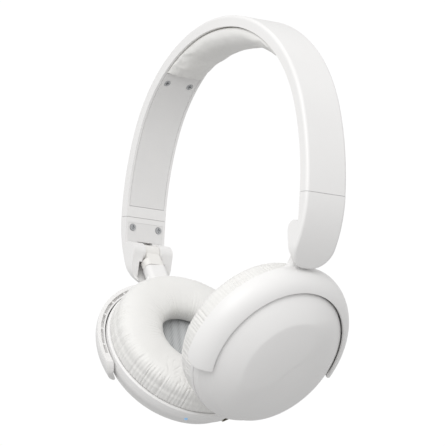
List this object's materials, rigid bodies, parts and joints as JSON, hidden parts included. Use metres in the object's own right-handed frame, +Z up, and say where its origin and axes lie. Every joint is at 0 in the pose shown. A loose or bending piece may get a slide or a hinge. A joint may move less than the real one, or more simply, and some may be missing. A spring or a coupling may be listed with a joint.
{
  "type": "folding on-ear headphones",
  "caption": "Wireless on-ear headphones with a padded headband, sliding arms, fold hinges, swivelling half-ring yokes and round padded cups.",
  "frame": {"origin": "middle of the headband cushion's underside, where it rests on the head", "axes": "+Z up from the head through the crown, +X to the wearer's left, -Y to the wearer's front"},
  "size_m": [0.1406, 0.0804, 0.177],
  "materials": {
    "white_shell": "satin moulded ABS",
    "white_cover": "fine spark-textured ABS",
    "white_hinge": "moulded nylon",
    "white_leather": "soft polyurethane leather, fine grain",
    "grey_cloth": "woven acoustic cloth",
    "spring_steel": "rolled spring steel",
    "zinc_screw": "zinc-plated",
    "pin_steel": "ground",
    "black_plastic": "moulded",
    "magnet_steel": "nickel-plated",
    "diaphragm_film": "clear polyester film",
    "lead_jacket": "smooth jacket",
    "cell_foil": "foil pouch",
    "board_laminate": "solder mask",
    "socket_shell": "drawn",
    "blue_light_pipe": "translucent",
    "white_key": "satin moulded ABS"
  },
  "bodies": {
    "headband": {"headband_shell": "white_shell", "headband_spring": "spring_steel", "cushion_carrier": "white_hinge", "headband_cushion": "white_leather", "headband_lead": "lead_jacket", "left_inner_cover": "white_cover", "left_cover_screws": "zinc_screw", "left_click_spring": "spring_steel", "right_inner_cover": "white_cover", "right_cover_screws": "zinc_screw", "right_click_spring": "spring_steel"},
    "left_arm": {"left_arm_housing": "white_shell", "left_arm_inner_cover": "white_cover", "left_arm_screws": "zinc_screw", "left_slider_strip": "spring_steel", "left_fold_pin": "pin_steel"},
    "left_link": {"left_fold_link": "white_hinge", "left_swivel_screw": "zinc_screw"},
    "left_yoke_body": {"left_yoke": "white_shell", "left_yoke_pivot_pins": "pin_steel"},
    "left_cup": {"left_cup_cap": "white_shell", "left_cup_housing": "white_shell", "left_driver_baffle": "black_plastic", "left_baffle_screws": "zinc_screw", "left_driver_frame": "black_plastic", "left_driver_magnet": "magnet_steel", "left_driver_diaphragm": "diaphragm_film", "left_speaker_cloth": "grey_cloth", "left_cushion_ring": "black_plastic", "left_ear_cushion": "white_leather", "battery": "cell_foil"},
    "right_arm": {"right_arm_housing": "white_shell", "right_arm_inner_cover": "white_cover", "right_arm_screws": "zinc_screw", "right_slider_strip": "spring_steel", "right_fold_pin": "pin_steel"},
    "right_link": {"right_fold_link": "white_hinge", "right_swivel_screw": "zinc_screw"},
    "right_yoke_body": {"right_yoke": "white_shell", "right_yoke_pivot_pins": "pin_steel"},
    "right_cup": {"right_cup_cap": "white_shell", "right_cup_housing": "white_shell", "right_driver_baffle": "black_plastic", "right_baffle_screws": "zinc_screw", "right_driver_frame": "black_plastic", "right_driver_magnet": "magnet_steel", "right_driver_diaphragm": "diaphragm_film", "right_speaker_cloth": "grey_cloth", "right_cushion_ring": "black_plastic", "right_ear_cushion": "white_leather", "main_board": "board_laminate", "usb_socket": "socket_shell", "led_light_pipe": "blue_light_pipe"},
    "volume_up_button_body": {"volume_up_button": "white_key"},
    "play_button_body": {"play_button": "white_key"},
    "volume_down_button_body": {"volume_down_button": "white_key"}
  },
  "joints": [
    {"name": "left_slide", "type": "slide", "parent": "headband", "child": "left_arm", "axis": [0.1219, 0, -0.9925], "range_m": [0, 0.02]},
    {"name": "left_fold", "type": "hinge", "parent": "left_arm", "child": "left_link", "pos_m": [0.06214, 0, -0.085], "axis": [0, 1, 0], "range_deg": [-5.5, 0]},
    {"name": "left_swivel", "type": "hinge", "parent": "left_link", "child": "left_yoke_body", "pos_m": [0.06214, 0, -0.085], "axis": [0.5878, 0, 0.809], "range_deg": [-21, 9]},
    {"name": "left_tilt", "type": "hinge", "parent": "left_yoke_body", "child": "left_cup", "pos_m": [0.03162, 0.00065, -0.13749], "axis": [-0.0846, 0.9945, 0.0614], "range_deg": [-12, 0]},
    {"name": "right_slide", "type": "slide", "parent": "headband", "child": "right_arm", "axis": [-0.1219, 0, -0.9925], "range_m": [0, 0.02]},
    {"name": "right_fold", "type": "hinge", "parent": "right_arm", "child": "right_link", "pos_m": [-0.06214, 0, -0.085], "axis": [0, 1, 0], "range_deg": [0, 5.5]},
    {"name": "right_swivel", "type": "hinge", "parent": "right_link", "child": "right_yoke_body", "pos_m": [-0.06214, 0, -0.085], "axis": [-0.5878, 0, 0.809], "range_deg": [-9, 21]},
    {"name": "right_tilt", "type": "hinge", "parent": "right_yoke_body", "child": "right_cup", "pos_m": [-0.03162, 0.00065, -0.13749], "axis": [0.0846, 0.9945, 0.0614], "range_deg": [0, 12]},
    {"name": "volume_up_press", "type": "slide", "parent": "right_cup", "child": "volume_up_button_body", "axis": [-0.3075, -0.9155, 0.2596], "range_m": [0, 0.0004], "stiffness_N_per_m": 900},
    {"name": "play_press", "type": "slide", "parent": "right_cup", "child": "play_button_body", "axis": [-0.4139, -0.8046, 0.4258], "range_m": [0, 0.0004], "stiffness_N_per_m": 900},
    {"name": "volume_down_press", "type": "slide", "parent": "right_cup", "child": "volume_down_button_body", "axis": [-0.4991, -0.6525, 0.5703], "range_m": [0, 0.0004], "stiffness_N_per_m": 900}
  ]
}
